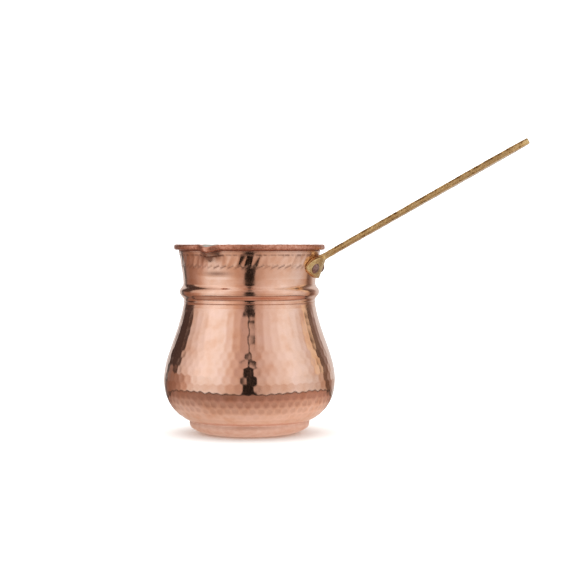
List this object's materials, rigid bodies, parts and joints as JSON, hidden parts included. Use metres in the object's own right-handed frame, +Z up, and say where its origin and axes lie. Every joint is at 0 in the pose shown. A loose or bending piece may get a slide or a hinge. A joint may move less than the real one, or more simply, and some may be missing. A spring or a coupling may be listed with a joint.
{
  "type": "turkish coffee pot cezve",
  "caption": "Small hammered copper coffee pot with a pear-shaped belly, beaded waist, pinched pouring spout and a long slanted brass handle riveted to the neck.",
  "frame": {"origin": "centre of the flat bottom that the pot stands on", "axes": "+Z up along the pot's axis, +X out along the handle, spout towards -Y"},
  "size_m": [0.1948, 0.092, 0.1565],
  "materials": {
    "copper": "hammered and polished copper sheet",
    "tin": "hand-wiped tin, soft satin grey",
    "brass": "rough sand-cast brass, filed on its faces",
    "rivet_copper": "hammered copper rivet ends, dull and darkened"
  },
  "bodies": {
    "root": {"pot_body": "copper", "tin_lining": "tin", "rim_wire": "copper", "handle": "brass", "rivet_near": "rivet_copper", "rivet_far": "rivet_copper"}
  },
  "joints": []
}
